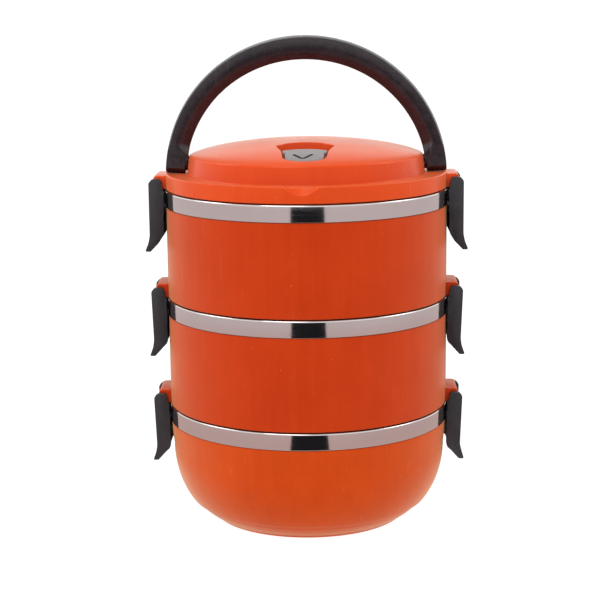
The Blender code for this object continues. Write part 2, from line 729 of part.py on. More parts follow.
def make_latches():
    pin = rod_mesh("latch_pin", PIN_R, (0, -PIN_HALF_L, 0), (0, PIN_HALF_L, 0), 12)
    sides = (("left", -1, math.pi), ("right", 1, 0.0))
    for row, rim in (("lid", RIM_3), ("top", RIM_2), ("middle", RIM_1)):
        mesh = latch_mesh(TIPS_UP[row])
        for (side, sign, turn_z), lean_deg in zip(sides, LEANS_DEG[row]):
            lean = math.radians(lean_deg)
            place = (sign * HINGE_X, 0, rim + HINGE_H)
            shade(add_part(f"latch_{row}_{side}", mesh, charcoal, place, (0, lean, turn_z)))
            shade(add_part(f"latch_pin_{row}_{side}", pin, steel, place))


clear_scene()
parts = new_collection("tiffin_carrier")
cutters = new_collection("cutters")
cutters.hide_render = True
orange = new_material("orange_polypropylene", ORANGE, 0.38)
charcoal = new_material("charcoal_polypropylene", CHARCOAL, 0.42)
steel = new_material("polished_steel", STEEL_GREY, 0.12, 1.0)
vent_grey = new_material("grey_plastic", VENT_GREY, 0.45)
silicone = new_material("silicone", SILICONE, 0.6)

make_bottom_tier()
make_upper_tier("middle", RIM_1)
make_upper_tier("top", RIM_2)
make_lid()
make_handle()
make_latches()
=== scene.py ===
"""Looks of the three-tier tiffin carrier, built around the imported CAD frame."""

import json
import math

import bmesh
import bpy
import numpy as np
from mathutils import Matrix, Vector


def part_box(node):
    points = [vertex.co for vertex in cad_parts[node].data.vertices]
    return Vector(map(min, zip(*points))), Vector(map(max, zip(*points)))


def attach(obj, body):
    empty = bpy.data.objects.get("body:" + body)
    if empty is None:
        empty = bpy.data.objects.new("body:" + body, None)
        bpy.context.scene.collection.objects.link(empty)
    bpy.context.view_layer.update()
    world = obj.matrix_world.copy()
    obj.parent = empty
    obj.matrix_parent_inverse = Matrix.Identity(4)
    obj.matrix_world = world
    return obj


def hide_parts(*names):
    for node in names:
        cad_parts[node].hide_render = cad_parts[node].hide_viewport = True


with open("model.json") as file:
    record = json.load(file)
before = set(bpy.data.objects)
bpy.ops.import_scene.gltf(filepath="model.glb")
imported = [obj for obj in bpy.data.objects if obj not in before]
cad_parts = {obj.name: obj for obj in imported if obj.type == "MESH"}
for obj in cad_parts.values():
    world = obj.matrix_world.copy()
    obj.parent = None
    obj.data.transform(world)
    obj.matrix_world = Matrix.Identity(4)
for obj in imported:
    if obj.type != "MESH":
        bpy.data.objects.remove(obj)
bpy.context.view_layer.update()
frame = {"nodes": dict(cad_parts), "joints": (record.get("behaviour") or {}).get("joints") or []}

MM = 0.001
ROWS = ("lid", "top", "middle")
SIDES = (("left", -1), ("right", 1))

# Measures taken from the frame
RIM = {row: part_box("liner_" + row)[1].z for row in ("bottom", "middle", "top")}
BAND_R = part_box("liner_top")[1].x
TIER_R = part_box("shell_top")[1].y
TOP_RIM = RIM["top"]
RIM_BELOW = {"lid": RIM["top"], "top": RIM["middle"], "middle": RIM["bottom"]}
JOINTS = {joint["name"]: joint for joint in frame["joints"]}
HANDLE_PIVOT = Vector(JOINTS["handle_fold"]["pos_m"])
VENT_PIVOT = Vector(JOINTS["vent_open"]["pos_m"])
HANDLE_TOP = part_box("handle")[1].z
DOME_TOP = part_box("lid_cover")[1].z

# Tier walls
WALL = 2.4 * MM
STEEL = 0.6 * MM
GAP = 0.3 * MM
SEAT = 0.6 * MM
BAND_H = 8.4 * MM
BORE_R = TIER_R - WALL
LINER_R = BORE_R - GAP
SPIGOT_R = 68.4 * MM
SPIGOT_H = 5.4 * MM
GROOVE_R = 66.4 * MM
TURN_STEPS = 192

# Lid: its domed disc, the ledge round it, the vent's recess and the hole in the recess floor
DISC_R = 61.2 * MM
DOME_EDGE_R = 56.4 * MM
LEDGE_H = 7.8 * MM
LID_RAYS = 288
RECESS_LIP = 0.55 * MM
VENT_CENTRE = (0.0, -37.0 * MM)
VENT_HOLE_Y = -39 * MM
VENT_HOLE_R = 3.8 * MM

# Vent flap: how far its top lies under the dome, and how deep the arrow is sunk in it
FLAP_CENTRE = (0.0, -43.5 * MM)
FLAP_DROP = 0.15 * MM
ARROW_DEPTH = 0.45 * MM

# Handle: it stands a little askew, on rounded ends with studs and ejector marks; dark discs on the
# ends' inner sides are painted shade for the gap by the lid's disc
HANDLE_SWAY = 0.0075
HANDLE_END_R = 6.4 * MM
HANDLE_END_HALF_MM = 5.5
STUD_R = 2.0 * MM
SOCKET_R = 2.35 * MM
# Dark discs inside the handle's ends: painted shade for the shadowed gap between the handle and the
# lid's disc
SHADE_DISC_R = 5.4 * MM
SHADE_DISC_FROM = 60.95 * MM
SHADE_DISC_TO = 63.5 * MM
MARK_X = 66.4 * MM
MARK_RISE = 0.4 * MM
MARK_R = 2.5 * MM
MARK_IN_R = 2.1 * MM

# Latch ears, pins and the catches under the bands
HINGE_RISE = 3.0 * MM
EAR_HALF = 11.2 * MM
PIN_BORE_R = 1.5 * MM
CATCH_HALF = 7 * MM
CATCH_FOOT = 13.3 * MM
LATCH_HALF = 14.2 * MM
PIN_REACH = 13.1 * MM

# Latches, left and right: how far each leans out, and how much shorter its tip is by row
LATCH_LEANS_DEG = {"lid": (0.0, 0.0), "top": (1.8, 2.4), "middle": (2.2, 2.5)}
LATCH_TIPS_UP = {"lid": -0.2, "top": 1.3, "middle": 1.6}

# Surface values that several plastics share
PLASTIC_IOR = 1.49
ORANGE_SPECULAR_TINT = (0.88, 1.0, 0.84, 1)
ORANGE_SHEEN_TINT = (1.0, 0.88, 0.46, 1)
ORANGE_SHEEN_ROUGHNESS = 0.45

# Studio: lamps as name, place, size and power, then the camera
LAMPS = (
    ("key", (-0.35, -0.75, 1.35), (0.7, 0.7), 8.0),
    ("side_left", (-1.0, 0.1, 0.95), (0.5, 0.6), 4.0),
    ("side_right", (1.0, 0.1, 0.95), (0.5, 0.6), 4.0),
)
LAMP_AIM = Vector((0, 0, 0.12))
FLOOR_HALF = 12.0
CARD_REACH = 5.0
LENS_MM = 101.58
CAMERA_TURN_DEG = 1.2
CAMERA_PITCH_DEG = 10.908
CAMERA_ROLL_DEG = -0.624
CAMERA_PLACE = (-0.0039, -0.8718, TOP_RIM + 0.1083)


# ---------------------------------------------------------------- mesh helpers


def placed(name, data):
    """A new object of this data, in the scene."""
    obj = bpy.data.objects.new(name, data)
    bpy.context.scene.collection.objects.link(obj)
    return obj


def mesh_object(name, vertices, faces, smooth_deg=32):
    """A new object of these faces, turned outward and shaded smooth."""
    mesh = bpy.data.meshes.new(name)
    mesh.from_pydata([tuple(v) for v in vertices], [], faces)
    mesh.validate()
    shape = bmesh.new()
    shape.from_mesh(mesh)
    bmesh.ops.recalc_face_normals(shape, faces=shape.faces)
    shape.to_mesh(mesh)
    shape.free()
    obj = placed(name, mesh)
    shade(obj, smooth_deg)
    return obj


def shade(obj, degrees=32):
    """Smooth shading, with edges sharper than the angle kept sharp."""
    obj.data.shade_smooth()
    obj.data.set_sharp_from_angle(angle=math.radians(degrees))


def rounded(points, radii, steps=5):
    """The polyline with each inner corner replaced by an arc of its radius (0 keeps it sharp)."""
    result = [Vector(points[0])]
    for index in range(1, len(points) - 1):
        corner = Vector(points[index])
        radius = radii[index]
        before = Vector(points[index - 1]) - corner
        after = Vector(points[index + 1]) - corner
        if radius <= 0 or before.length < 1e-9 or after.length < 1e-9:
            result.append(corner)
            continue
        half = before.angle(after) / 2
        reach = min(radius / math.tan(half), 0.49 * before.length, 0.49 * after.length)
        start = corner + before.normalized() * reach
        end = corner + after.normalized() * reach
        for step in range(steps + 1):
            t = step / steps
            result.append(start * (1 - t) ** 2 + corner * 2 * t * (1 - t) + end * t * t)
    result.append(Vector(points[-1]))
    return [tuple(point) for point in result]


def rounded_loop(points, radii, steps=4):
    """The same for a closed outline."""
    count = len(points)
    wide = [points[-1]] + list(points) + [points[0]]
    wide_radii = [radii[-1]] + list(radii) + [radii[0]]
    result = []
    for index in range(count):
        part = rounded(wide[index : index + 3], wide_radii[index : index + 3], steps)
        result += part[1:-1]
    return result


def turned(name, profile, closed, angles=None, smooth_deg=32):
    """A turned piece of (radius, height) points; a radius of 0 becomes one pole vertex."""
    if angles is None:
        angles = [2 * math.pi * k / TURN_STEPS for k in range(TURN_STEPS)]
    count = len(angles)
    vertices, rings, faces = [], [], []
    for radius, height in profile:
        if radius < 1e-7:
            rings.append([len(vertices)] * count)
            vertices.append((0, 0, height))
            continue
        rings.append(list(range(len(vertices), len(vertices) + count)))
        vertices += [(radius * math.cos(a), radius * math.sin(a), height) for a in angles]
    pairs = list(zip(rings[:-1], rings[1:]))
    if closed:
        pairs.append((rings[-1], rings[0]))
    for upper, lower in pairs:
        faces += ring_faces(upper, lower)
    return mesh_object(name, vertices, faces, smooth_deg)


def ring_faces(upper, lower):
    """Faces between two closed rings of vertex numbers; a repeated number makes a triangle."""
    faces = []
    count = len(upper)
    for k in range(count):
        following = (k + 1) % count
        face = [upper[k], upper[following], lower[following], lower[k]]
        face = list(dict.fromkeys(face))
        if len(face) > 2:
            faces.append(face)
    return faces


def extruded(name, outline, half, bevel=0.0, segments=3):
    """An XZ outline given thickness along Y, its edges rounded by bevel."""
    count = len(outline)
    vertices = [(x, -half, z) for x, z in outline] + [(x, half, z) for x, z in outline]
    faces = [list(range(count)), list(range(2 * count - 1, count - 1, -1))]
    for k in range(count):
        following = (k + 1) % count
        faces.append([k, following, count + following, count + k])
    obj = mesh_object(name, vertices, faces)
    if bevel:
        add_bevel(obj, bevel, segments)
    return obj


def add_bevel(obj, width, segments=3, degrees=40):
    """Rounds the edges that are sharper than the angle."""
    modifier = obj.modifiers.new("Bevel", "BEVEL")
    modifier.width = width
    modifier.segments = segments
    modifier.limit_method = "ANGLE"
    modifier.angle_limit = math.radians(degrees)
    modifier.harden_normals = False


def box(name, low, high):
    """A block between two opposite corners."""
    shape = bmesh.new()
    bmesh.ops.create_cube(shape, size=1.0)
    size = Vector(high) - Vector(low)
    bmesh.ops.scale(shape, vec=size, verts=shape.verts)
    bmesh.ops.translate(shape, vec=(Vector(high) + Vector(low)) / 2, verts=shape.verts)
    return from_bmesh(name, shape)


def rod(name, radius, start, end, segments=32):
    """A round bar between the centres of its two ends."""
    along = Vector(end) - Vector(start)
    turn_to = along.to_track_quat("Z", "Y").to_matrix().to_4x4()
    place = Matrix.Translation((Vector(start) + Vector(end)) / 2) @ turn_to
    shape = bmesh.new()
    bmesh.ops.create_cone(
        shape, cap_ends=True, segments=segments, radius1=radius, radius2=radius,
        depth=along.length, matrix=place,
    )
    return from_bmesh(name, shape)


def from_bmesh(name, shape):
    """A new object of the mesh being edited."""
    mesh = bpy.data.meshes.new(name)
    shape.to_mesh(mesh)
    shape.free()
    return placed(name, mesh)


def combine(obj, other, operation):
    """Applies a Boolean of obj with other, and removes other."""
    modifier = obj.modifiers.new("Combine", "BOOLEAN")
    modifier.operation = operation
    modifier.object = other
    modifier.solver = "EXACT"
    modifier.material_mode = "TRANSFER"
    bake(obj)
    bpy.data.objects.remove(other, do_unlink=True)
    return obj


def bake(obj):
    """Applies the modifiers of an object."""
    bpy.context.view_layer.update()
    graph = bpy.context.evaluated_depsgraph_get()
    mesh = bpy.data.meshes.new_from_object(obj.evaluated_get(graph))
    obj.modifiers.clear()
    old = obj.data
    obj.data = mesh
    bpy.data.meshes.remove(old)
    return obj


def finish_piece(obj, body, slot, material, *nodes):
    """Gives a piece its material and body, and hides the frame nodes it stands for; the slot
    argument is not used.
    """
    if not obj.data.materials:
        obj.data.materials.append(material)
    elif obj.data.materials[0] is None:
        obj.data.materials[0] = material
    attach(obj, body)
    if nodes:
        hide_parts(*nodes)
    return obj


# ---------------------------------------------------------------- materials


class Shader:
    """A material whose node tree is written one call at a time."""

    def __init__(self, name):
        self.material = bpy.data.materials.new(name)
        self.material.use_nodes = True
        self.nodes = self.material.node_tree.nodes
        self.links = self.material.node_tree.links
        self.surface = self.nodes["Principled BSDF"]
        self.place = self.nodes.new("ShaderNodeTexCoord").outputs["Object"]

    def link(self, output, socket):
        self.links.new(output, socket)

    def mapped(self, scale, rotation=(0, 0, 0)):
        node = self.nodes.new("ShaderNodeMapping")
        node.inputs["Scale"].default_value = scale
        node.inputs["Rotation"].default_value = rotation
        self.link(self.place, node.inputs["Vector"])
        return node.outputs["Vector"]

    def noise(self, scale, detail=3.0, roughness=0.5, vector=None):
        node = self.nodes.new("ShaderNodeTexNoise")
        node.inputs["Scale"].default_value = scale
        node.inputs["Detail"].default_value = detail
        node.inputs["Roughness"].default_value = roughness
        self.link(vector or self.place, node.inputs["Vector"])
        return node.outputs["Fac"]

    def span(self, value, low, high, to_low=0.0, to_high=1.0):
        node = self.nodes.new("ShaderNodeMapRange")
        node.inputs["From Min"].default_value = low
        node.inputs["From Max"].default_value = high
        node.inputs["To Min"].default_value = to_low
        node.inputs["To Max"].default_value = to_high
        self.link(value, node.inputs["Value"])
        return node.outputs["Result"]

    def maths(self, operation, first, second):
        node = self.nodes.new("ShaderNodeMath")
        node.operation = operation
        for socket, value in zip(node.inputs, (first, second)):
            if isinstance(value, (int, float)):
                socket.default_value = value
            else:
                self.link(value, socket)
        return node.outputs[0]

    def mix(self, share, first, second):
        node = self.nodes.new("ShaderNodeMix")
        node.data_type = "RGBA"
        self.link(share, node.inputs["Factor"])
        for socket, value in ((node.inputs["A"], first), (node.inputs["B"], second)):
            if isinstance(value, tuple):
                socket.default_value = value
            else:
                self.link(value, socket)
        return node.outputs["Result"]

    def bump(self, height, strength, distance):
        node = self.nodes.new("ShaderNodeBump")
        node.inputs["Strength"].default_value = strength
        node.inputs["Distance"].default_value = distance
        self.link(height, node.inputs["Height"])
        return node.outputs["Normal"]

    def streaks(self, count, rotation, thin, stretch=40.0):
        """Thin straight marks: a noise stretched along one direction and cut near its top."""
        vector = self.mapped((count, count, count / stretch), rotation)
        return self.span(self.noise(1.0, 2.0, 0.5, vector), thin, thin + 0.03)

    def set(self, **values):
        for name, value in values.items():
            socket = self.surface.inputs[name.replace("_", " ")]
            if hasattr(value, "is_linked"):
                self.link(value, socket)
            else:
                socket.default_value = value


def orange_plastic(name, deep, light, gloss, level, sheen):
    """Satin polypropylene: flow mottling, vertical drag marks, scuffs and rare pale specks."""
    s = Shader(name)
    mottle = s.noise(30.0, 5.0, 0.62)
    drag = s.noise(1.0, 4.0, 0.6, s.mapped((260.0, 260.0, 14.0)))
    tone = s.maths("ADD", s.maths("MULTIPLY", mottle, 0.6), s.maths("MULTIPLY", drag, 0.4))
    base = s.mix(s.span(tone, 0.36, 0.64), deep, light)
    scuff_a = s.streaks(900.0, (0.5, 0.3, 0.2), 0.71)
    scuff_b = s.streaks(700.0, (1.3, -0.5, 0.9), 0.73)
    scuff_c = s.streaks(1100.0, (-0.9, 0.7, 0.1), 0.73)
    scuffs = s.maths("MAXIMUM", s.maths("MAXIMUM", scuff_a, scuff_b), scuff_c)
    scuffs = s.maths("MULTIPLY", scuffs, s.span(s.noise(14.0, 2.0), 0.42, 0.66))
    base = s.mix(s.maths("MULTIPLY", scuffs, 0.20), base, (0.90, 0.30, 0.16, 1))
    specks = s.span(s.noise(1100.0, 1.0, 0.3), 0.80, 0.84)
    base = s.mix(s.maths("MULTIPLY", specks, 0.2), base, (0.95, 0.62, 0.45, 1))
    worn = s.maths("MULTIPLY", scuffs, 0.04)
    rough = s.maths("ADD", s.span(s.noise(60.0, 3.0), 0.3, 0.7, gloss, gloss + 0.07), worn)
    grain = s.noise(2600.0, 2.0, 0.6)
    normal = s.bump(grain, 0.10, 0.00004)
    s.set(Base_Color=base, Roughness=rough, Normal=normal)
    s.surface.inputs["IOR"].default_value = PLASTIC_IOR
    s.surface.inputs["Specular IOR Level"].default_value = level
    s.surface.inputs["Specular Tint"].default_value = ORANGE_SPECULAR_TINT
    s.surface.inputs["Sheen Weight"].default_value = sheen
    s.surface.inputs["Sheen Roughness"].default_value = ORANGE_SHEEN_ROUGHNESS
    s.surface.inputs["Sheen Tint"].default_value = ORANGE_SHEEN_TINT
    return s.material


def charcoal_plastic(name, deep, light, gloss):
    """Dark grey polypropylene with a fine moulded texture and pale rub marks."""
    s = Shader(name)
    tone = s.span(s.noise(160.0, 5.0, 0.7), 0.3, 0.7)
    base = s.mix(tone, deep, light)
    lines = s.streaks(800.0, (0.2, 0.9, 0.4), 0.70)
    rubs = s.maths("MULTIPLY", lines, s.span(s.noise(30.0), 0.45, 0.65))
    base = s.mix(s.maths("MULTIPLY", rubs, 0.35), base, (0.20, 0.19, 0.19, 1))
    specks = s.span(s.noise(1300.0, 1.0, 0.3), 0.73, 0.80)
    base = s.mix(s.maths("MULTIPLY", specks, 0.25), base, (0.16, 0.15, 0.15, 1))
    rough = s.span(s.noise(220.0, 4.0, 0.65), 0.3, 0.7, gloss, gloss + 0.12)
    normal = s.bump(s.noise(1400.0, 3.0, 0.65), 0.45, 0.00008)
    s.set(Base_Color=base, Roughness=rough, Normal=normal)
    s.surface.inputs["IOR"].default_value = PLASTIC_IOR
    return s.material


def polished_steel():
    """Mirror-polished stainless sheet: slight waviness and fine marks round the bowl."""
    s = Shader("polished_stainless")
    tone = s.span(s.noise(25.0, 3.0), 0.3, 0.7)
    base = s.mix(tone, (0.60, 0.565, 0.56, 1), (0.64, 0.605, 0.60, 1))
    wipe = s.noise(1.0, 3.0, 0.6, s.mapped((30.0, 30.0, 2400.0)))
    rough = s.span(wipe, 0.3, 0.75, 0.05, 0.13)
    normal = s.bump(s.noise(1.0, 2.0, 0.5, s.mapped((9.0, 9.0, 60.0))), 0.25, 0.0002)
    s.set(Base_Color=base, Roughness=rough, Normal=normal, Metallic=1.0)
    return s.material


def grey_plastic():
    """Warm grey plastic of the vent flap, finely textured."""
    s = Shader("grey_vent_plastic")
    tone = s.span(s.noise(60.0, 3.0), 0.3, 0.7)
    base = s.mix(tone, (0.16, 0.142, 0.142, 1), (0.205, 0.182, 0.182, 1))
    rough = s.span(s.noise(90.0, 3.0), 0.3, 0.7, 0.36, 0.46)
    normal = s.bump(s.noise(3000.0, 2.0, 0.6), 0.3, 0.00004)
    s.set(Base_Color=base, Roughness=rough, Normal=normal)
    return s.material


def painted_shade_material():
    """Near-black painted shade for the arrow's groove and for the flap's studs in the shadowed
    notches beside its hinge.
    """
    s = Shader("groove_shadow_plastic")
    tone = s.span(s.noise(200.0, 2.0), 0.3, 0.7)
    base = s.mix(tone, (0.012, 0.012, 0.014, 1), (0.022, 0.021, 0.024, 1))
    s.set(Base_Color=base, Roughness=0.6)
    return s.material


def white_silicone():
    """Milky silicone of the seal rings and the vent's stopper."""
    s = Shader("translucent_silicone")
    tone = s.span(s.noise(80.0, 3.0), 0.3, 0.7)
    base = s.mix(tone, (0.70, 0.69, 0.66, 1), (0.78, 0.77, 0.74, 1))
    rough = s.span(s.noise(120.0, 2.0), 0.3, 0.7, 0.48, 0.60)
    normal = s.bump(s.noise(1500.0, 2.0), 0.25, 0.00004)
    s.set(Base_Color=base, Roughness=rough, Normal=normal)
    s.surface.inputs["Subsurface Weight"].default_value = 0.15
    s.surface.inputs["Subsurface Scale"].default_value = 0.002
    return s.material


SHELL_ORANGE = orange_plastic(
    "orange_tier_polypropylene", deep=(0.41, 0.0255, 0.0006, 1), light=(0.46, 0.0325, 0.0012, 1),
    gloss=0.36, level=0.07, sheen=0.27,
)
# The bottom tier's orange: the tiers' orange made brighter and yellower, as painted light that the
# white floor throws up on it
FLOOR_LIT_ORANGE = orange_plastic(
    "orange_bottom_painted_floor_light", deep=(0.46, 0.0395, 0.0006, 1), light=(0.515, 0.049, 0.0012, 1),
    gloss=0.36, level=0.07, sheen=0.33,
)
LID_ORANGE = orange_plastic(
    "orange_lid_polypropylene", deep=(0.55, 0.041, 0.0005, 1), light=(0.59, 0.049, 0.001, 1),
    gloss=0.27, level=0.22, sheen=0.16,
)
CHARCOAL = charcoal_plastic(
    "charcoal_polypropylene", deep=(0.011, 0.0095, 0.0125, 1), light=(0.018, 0.0155, 0.020, 1),
    gloss=0.28,
)
# Its own dark grey, with the red raised as a painted reddish reflection of the orange lid beside it
HANDLE_BLACK = charcoal_plastic(
    "handle_polypropylene", deep=(0.012, 0.0080, 0.0105, 1), light=(0.023, 0.0155, 0.0195, 1),
    gloss=0.20,
)
POLISHED = polished_steel()
VENT_GREY = grey_plastic()
# Painted shade: near-black colour for the arrow's groove and the flap's studs
PAINTED_SHADE = painted_shade_material()
SILICONE = white_silicone()


# ---------------------------------------------------------------- tiers


def neck(rim):
    """Top of a shell's outer side, which the steel rim folds over."""
    top = rim - STEEL - GAP
    return [(BORE_R, top), (BAND_R - STEEL - GAP, top), (BAND_R - STEEL - GAP, rim - BAND_H - GAP)]


def bowl_radius(height, inset):
    """Radius of the bottom tier's bulging bowl at a height, moved inward by inset."""
    top, centre, across, down = 38.4 * MM, 39.7 * MM, 31.5 * MM, 40.6 * MM
    depth = max(0.0, (top - height) / (down - inset))
    return centre + (across - inset) * math.sqrt(max(0.0, 1 - depth * depth))


def spread(start, end, count):
    """Evenly spaced values from start to end."""
    return [start + (end - start) * k / (count - 1) for k in range(count)]


def bottom_shell():
    """Bulging bottom tier with a stepped foot ring."""
    rim = RIM["bottom"]
    step_z = 9.5 * MM
    outer = neck(rim)
    outer += rounded(
        [(BAND_R - STEEL - GAP, rim - BAND_H - GAP), (TIER_R - 0.1 * MM, rim - BAND_H - GAP)]
        + [(TIER_R - 0.55 * MM, 45.5 * MM)], [0, 0.35 * MM, 0]
    )[1:]
    outer += [(bowl_radius(z * MM, 0), z * MM) for z in spread(39.0, 10.3, 30)]
    lip = bowl_radius(step_z, 0)
    outer += rounded(
        [(lip + 0.4 * MM, step_z + 0.8 * MM), (lip, step_z), (lip - 1.0 * MM, step_z - 0.15 * MM),
         (bowl_radius(7.8 * MM, 0.9 * MM), 7.8 * MM)], [0, 0.3 * MM, 0.3 * MM, 0]
    )[1:]
    outer += [(bowl_radius(z * MM, 0.8 * MM), z * MM) for z in spread(7.2, 1.6, 12)]
    outer += rounded(
        [(bowl_radius(1.4 * MM, 0.8 * MM), 1.4 * MM), (49.9 * MM, 0), (46.3 * MM, 0),
         (45.2 * MM, 1.0 * MM), (0, 1.0 * MM)], [0, 0.9 * MM, 0.5 * MM, 0.5 * MM, 0]
    )
    inner = [(0, 3.0 * MM)]
    inner += [(bowl_radius(z * MM, WALL), z * MM) for z in spread(3.0, 38.0, 20)]
    inner += [(BORE_R, 50.0 * MM)]
    shell = turned("tier_shell_bottom", outer + inner, closed=True)
    cut_catches(shell, rim)
    shade(shell)
    # Its orange carries painted light from the white floor below
    finish_piece(shell, "bottom_tier", "orange_plastic", FLOOR_LIT_ORANGE, "shell_bottom")


def spigot(base):
    """Plug under a tier or lid, down its outer side from the shoulder to the rounded lower edge."""
    groove_top = base - 1.2 * MM
    groove_foot = base - 3.8 * MM
    return rounded(
        [(SPIGOT_R, base), (SPIGOT_R, groove_top), (GROOVE_R, groove_top), (GROOVE_R, groove_foot),
         (SPIGOT_R, groove_foot), (SPIGOT_R, base - SPIGOT_H), (0, base - SPIGOT_H)],
        [0, 0.2 * MM, 0.2 * MM, 0.2 * MM, 0.2 * MM, 0.8 * MM, 0],
    )


def upper_shell(name):
    """Straight tier whose plug enters the bowl below it."""
    rim = RIM[name]
    rim_below = RIM_BELOW[name]
    base = rim_below + SEAT
    outer = neck(rim)
    outer += rounded(
        [(BAND_R - STEEL - GAP, rim - BAND_H - GAP), (TIER_R, rim - BAND_H - GAP),
         (TIER_R, base + 20 * MM), (TIER_R, base), (SPIGOT_R, base)],
        [0, 0.35 * MM, 0, 0.6 * MM, 0], 6,
    )[1:]
    outer += spigot(base)[1:]
    inner = [
        (0, base - SPIGOT_H + 2.0 * MM),
        (GROOVE_R - 2.4 * MM, base - SPIGOT_H + 2.0 * MM),
        (GROOVE_R - 2.0 * MM, base + 0.5 * MM),
        (67.4 * MM, base + 2.2 * MM),
        (BORE_R, base + 6.0 * MM),
    ]
    shell = turned("tier_shell_" + name, outer + inner, closed=True)
    add_ears(shell, rim_below)
    cut_catches(shell, rim)
    shade(shell)
    finish_piece(shell, name + "_tier", "orange_plastic", SHELL_ORANGE, "shell_" + name)


def add_ears(shell, rim):
    """Latch ears: rounded blocks at both sides, bored along Y for the hinge pin."""
    low_x, top_z, foot_z = TIER_R - 1.7 * MM, rim + 7.5 * MM, rim + SEAT
    far = TIER_R + 5.8 * MM
    for side, sign in SIDES:
        outline = rounded_loop(
            [(low_x, top_z), (far, top_z), (far, foot_z), (low_x, foot_z)],
            [0, 2.2 * MM, 1.8 * MM, 0], 8,
        )
        outline = [(sign * x, z) for x, z in outline]
        ear = extruded("ear", outline, EAR_HALF)
        add_bevel(ear, 0.5 * MM, 3, 50)
        combine(shell, bake(ear), "UNION")
        hinge = Vector(JOINTS[f"latch_lid_{side}_open"]["pos_m"])
        height = rim + HINGE_RISE
        bore = rod("bore", PIN_BORE_R, (hinge.x, -13 * MM, height), (hinge.x, 13 * MM, height))
        combine(shell, bore, "DIFFERENCE")


def cut_catches(shell, rim):
    """Pockets under the steel band that the latch noses enter."""
    for _, sign in SIDES:
        ends = sorted((sign * (TIER_R - 1.3 * MM), sign * (TIER_R + 2 * MM)))
        low = (ends[0], -CATCH_HALF, rim - CATCH_FOOT)
        high = (ends[1], CATCH_HALF, rim - BAND_H - GAP - 0.02 * MM)
        combine(shell, box("catch", low, high), "DIFFERENCE")


def liner_profile(rim, wall_foot, corner, floor):
    """Steel bowl from the band's lower hem, over the rolled rim and down the inside, and back."""
    hem = rim - BAND_H
    outside = rounded(
        [(BAND_R - STEEL, hem), (BAND_R, hem), (BAND_R, rim), (LINER_R - STEEL, rim),
         (LINER_R - STEEL, wall_foot)],
        [0, 0.25 * MM, 0.75 * MM, 0.9 * MM, 0], 6,
    )[1:]
    inner = [(radius - STEEL, height + STEEL * 0.6) for radius, height in corner]
    back = rounded(
        [(LINER_R, wall_foot), (LINER_R, rim - STEEL), (BAND_R - STEEL, rim - STEEL),
         (BAND_R - STEEL, hem)], [0, 0.5 * MM, 0.5 * MM, 0], 4,
    )
    return outside + inner + [(0, floor + STEEL), (0, floor)] + corner[::-1] + back[:-1]


def steel_bowls():
    """The three bowls: one follows the bulge, two have a round corner."""
    skin = WALL + 0.45 * MM
    floor = 3.5 * MM
    corner = [(bowl_radius(z * MM, skin), z * MM) for z in spread(42.0, 3.5, 32)]
    profile = liner_profile(RIM["bottom"], 50 * MM, corner, floor)
    bowl = turned("steel_bowl_bottom", profile, closed=True)
    finish_piece(bowl, "bottom_tier", "polished_steel", POLISHED, "liner_bottom")
    for name in ("middle", "top"):
        base = RIM_BELOW[name] + SEAT
        floor = base + 0.6 * MM
        reach = 9.0 * MM
        corner = []
        for k in range(13):
            angle = math.radians(90 * k / 12)
            inward, rise = reach * (1 - math.cos(angle)), reach * (1 - math.sin(angle))
            corner.append((LINER_R - inward, floor + rise))
        profile = liner_profile(RIM[name], base + 14 * MM, corner, floor)
        bowl = turned("steel_bowl_" + name, profile, closed=True)
        finish_piece(bowl, name + "_tier", "polished_steel", POLISHED, "liner_" + name)


def seal_ring(row, body):
    """Silicone ring in its groove, with two soft lips on its outer side."""
    low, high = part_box("seal_ring_" + row)
    inner = GROOVE_R + GAP
    outer = high.x
    third = (high.z - low.z) / 3
    outline = [
        (inner, high.z), (outer - 0.5 * MM, high.z), (outer, high.z - third * 0.5),
        (outer - 0.7 * MM, high.z - third * 1.2), (outer - 0.7 * MM, low.z + third * 1.2),
        (outer, low.z + third * 0.5), (outer - 0.5 * MM, low.z), (inner, low.z),
    ]
    profile = rounded_loop(outline, [0.3 * MM] * 8, 3)
    ring = turned("silicone_seal_" + row, profile, closed=True)
    finish_piece(ring, body, "silicone", SILICONE, "seal_ring_" + row)


# ---------------------------------------------------------------- lid


def dome(radius):
    """Height of the lid's domed disc at a radius."""
    share = radius / (59.5 * MM)
    return DOME_TOP - 6.2 * MM * share**2 - 1.3 * MM * share**8


def vent_outline(count):
    """Points of the recess outline, one on each of count rays from the point it is drawn about."""
    right = [(0, -15.8), (7.5, -17.0), (14.8, -23.6), (11.9, -35.0), (11.4, -40.0), (10.7, -48.5)]
    right += [(9.6, -50.6), (6.2, -53.8)]
    radii = [60, 12, 1.4, 12, 10, 1.5, 2.5, 6.0]
    points = right + [(0, -54.9)] + [(-x, y) for x, y in right[:0:-1]]
    turns = radii + [60] + radii[:0:-1]
    loop = rounded_loop(points, turns, 10)
    return ray_points([(x * MM, y * MM) for x, y in loop], VENT_CENTRE, count)


